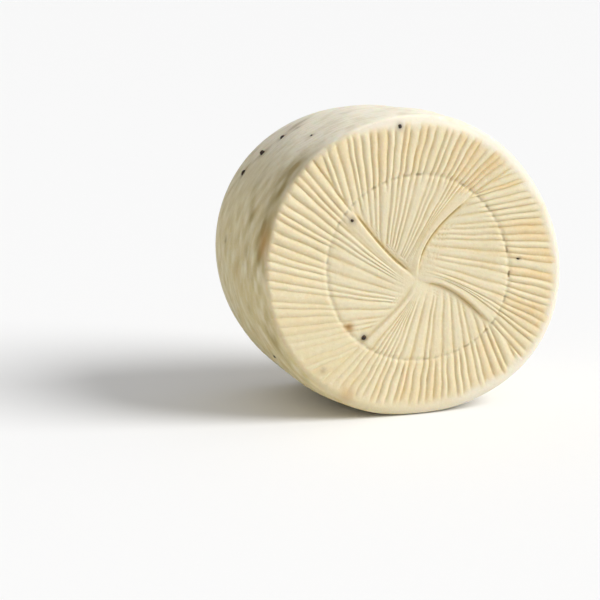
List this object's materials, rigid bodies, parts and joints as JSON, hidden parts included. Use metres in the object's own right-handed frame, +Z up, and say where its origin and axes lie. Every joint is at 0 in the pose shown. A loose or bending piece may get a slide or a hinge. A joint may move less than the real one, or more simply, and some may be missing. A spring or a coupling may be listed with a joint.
{
  "type": "primo sale cheese",
  "caption": "Whole fresh white cheese with peppercorns, a barrel-sided drum standing on its edge, with a pinwheel basket print on both round faces.",
  "frame": {"origin": "on the floor in the middle of the small flat spot that the drum stands on, under the middle of its wall", "axes": "+Y along the drum's own axis from the front face to the back face, +Z up, +X to the right seen from the front"},
  "size_m": [0.2019, 0.1127, 0.1866],
  "materials": {
    "cheese": "moist matte fresh cheese, cream coloured, with dark cracked peppercorns"
  },
  "bodies": {
    "root": {"cheese_wheel": "cheese"}
  },
  "joints": []
}
